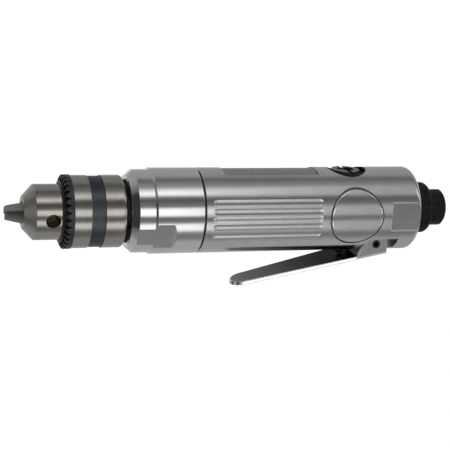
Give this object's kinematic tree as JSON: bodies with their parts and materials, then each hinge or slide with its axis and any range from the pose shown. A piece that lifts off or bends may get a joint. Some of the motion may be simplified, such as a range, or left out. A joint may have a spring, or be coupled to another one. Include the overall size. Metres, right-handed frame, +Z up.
{
  "type": "air drill",
  "caption": "Straight pneumatic drill with a keyed three-jaw chuck, planetary gear case, vane motor in a fluted round housing, throttle lever and rear air inlet.",
  "frame": {"origin": "on the tool axis at the mouth of the air inlet", "axes": "+X along the tool axis, out of the air inlet; +Z up, with the throttle lever towards -Z"},
  "size_m": [0.2144, 0.0408, 0.0565],
  "materials": {
    "satin_aluminium": "satin polished",
    "chrome_case": "mirror plated",
    "ground_steel": "turned and ground, toothed ring black oxide",
    "jaw_steel": "hardened, ground",
    "nickel_lever": "polished nickel plate",
    "black_anodised": "matte black",
    "dark_pin": "black oxide",
    "gear_steel": "machined",
    "bright_steel": "polished",
    "cast_plate": "machined",
    "black_rubber": "matte",
    "vane_composite": "laminate",
    "brass_fitting": "turned",
    "grey_felt": "felt"
  },
  "bodies": {
    "housing": {"motor_housing": "satin_aluminium", "gear_case": "chrome_case", "dust_washer": "black_rubber", "snap_ring": "dark_pin", "spindle_bearing_outer": "bright_steel", "spindle_bearing_balls": "bright_steel", "ring_gear": "gear_steel", "front_end_plate": "cast_plate", "rear_end_plate": "cast_plate", "rotor_cylinder": "gear_steel", "cylinder_dowel": "bright_steel", "front_rotor_bearing_outer": "bright_steel", "front_rotor_bearing_balls": "bright_steel", "rear_rotor_bearing_outer": "bright_steel", "rear_rotor_bearing_balls": "bright_steel", "valve_plug": "black_anodised", "plug_o_ring": "black_rubber", "stem_bushing": "brass_fitting", "valve_spring": "bright_steel", "lever_pin": "dark_pin", "silencer_felt": "grey_felt", "inlet_bushing": "black_anodised", "inlet_o_ring": "black_rubber", "inlet_screen": "brass_fitting"},
    "spindle": {"spindle": "gear_steel", "planet_pins": "bright_steel", "spindle_bearing_inner": "bright_steel", "chuck_body": "ground_steel"},
    "chuck_sleeve": {"chuck_sleeve": "ground_steel", "chuck_nut": "gear_steel"},
    "chuck_jaw_1": {"chuck_jaw_1": "jaw_steel"},
    "chuck_jaw_2": {"chuck_jaw_2": "jaw_steel"},
    "chuck_jaw_3": {"chuck_jaw_3": "jaw_steel"},
    "planet_1": {"planet_gear_1": "gear_steel"},
    "planet_2": {"planet_gear_2": "gear_steel"},
    "planet_3": {"planet_gear_3": "gear_steel"},
    "rotor": {"rotor": "gear_steel", "rotor_vanes": "vane_composite", "front_rotor_bearing_inner": "bright_steel", "rear_rotor_bearing_inner": "bright_steel"},
    "lever": {"lever": "nickel_lever"},
    "valve_stem": {"valve_stem": "bright_steel", "valve_seal": "black_rubber", "stem_o_ring": "black_rubber"},
    "exhaust_deflector": {"exhaust_deflector": "black_anodised"}
  },
  "joints": [
    {"name": "spindle_spin", "type": "hinge", "parent": "housing", "child": "spindle", "pos_m": [-0.15, 0, 0], "axis": [1, 0, 0], "continuous": true},
    {"name": "rotor_spin", "type": "hinge", "parent": "housing", "child": "rotor", "pos_m": [-0.1, 0, 0], "axis": [1, 0, 0], "continuous": true},
    {"name": "planet_1_spin", "type": "hinge", "parent": "spindle", "child": "planet_1", "pos_m": [-0.13, 0, 0.00858], "axis": [1, 0, 0], "continuous": true},
    {"name": "planet_2_spin", "type": "hinge", "parent": "spindle", "child": "planet_2", "pos_m": [-0.13, -0.00743, -0.00429], "axis": [1, 0, 0], "continuous": true},
    {"name": "planet_3_spin", "type": "hinge", "parent": "spindle", "child": "planet_3", "pos_m": [-0.13, 0.00743, -0.00429], "axis": [1, 0, 0], "continuous": true},
    {"name": "sleeve_turn", "type": "hinge", "parent": "spindle", "child": "chuck_sleeve", "pos_m": [-0.18, 0, 0], "axis": [1, 0, 0], "range_deg": [0, 2880]},
    {"name": "jaw_1_slide", "type": "slide", "parent": "spindle", "child": "chuck_jaw_1", "axis": [0.9744, -0.1338, 0.1808], "range_m": [0, 0.02111]},
    {"name": "jaw_2_slide", "type": "slide", "parent": "spindle", "child": "chuck_jaw_2", "axis": [0.9744, -0.0897, -0.2063], "range_m": [0, 0.02111]},
    {"name": "jaw_3_slide", "type": "slide", "parent": "spindle", "child": "chuck_jaw_3", "axis": [0.9744, 0.2235, 0.0255], "range_m": [0, 0.02111]},
    {"name": "lever_press", "type": "hinge", "parent": "housing", "child": "lever", "pos_m": [-0.0369, 0, -0.0154], "axis": [0, 1, 0], "range_deg": [0, 12], "stiffness_Nm_per_rad": 2, "springref_deg": -5.73},
    {"name": "valve_lift", "type": "slide", "parent": "housing", "child": "valve_stem", "axis": [0, 0, 1], "range_m": [0, 0.00315], "deforming": ["valve_spring"]},
    {"name": "deflector_swivel", "type": "hinge", "parent": "housing", "child": "exhaust_deflector", "pos_m": [-0.0177, 0, 0], "axis": [1, 0, 0], "continuous": true}
  ],
  "couplings": [
    {"joint": "rotor_spin", "follows": "spindle_spin", "ratio": 4.4},
    {"joint": "planet_1_spin", "follows": "spindle_spin", "ratio": -2.8333},
    {"joint": "planet_2_spin", "follows": "spindle_spin", "ratio": -2.8333},
    {"joint": "planet_3_spin", "follows": "spindle_spin", "ratio": -2.8333},
    {"joint": "jaw_1_slide", "follows": "sleeve_turn", "m_per_rad": 0.00041977},
    {"joint": "jaw_2_slide", "follows": "sleeve_turn", "m_per_rad": 0.00041977},
    {"joint": "jaw_3_slide", "follows": "sleeve_turn", "m_per_rad": 0.00041977},
    {"joint": "valve_lift", "follows": "lever_press", "m_per_rad": 0.015}
  ]
}
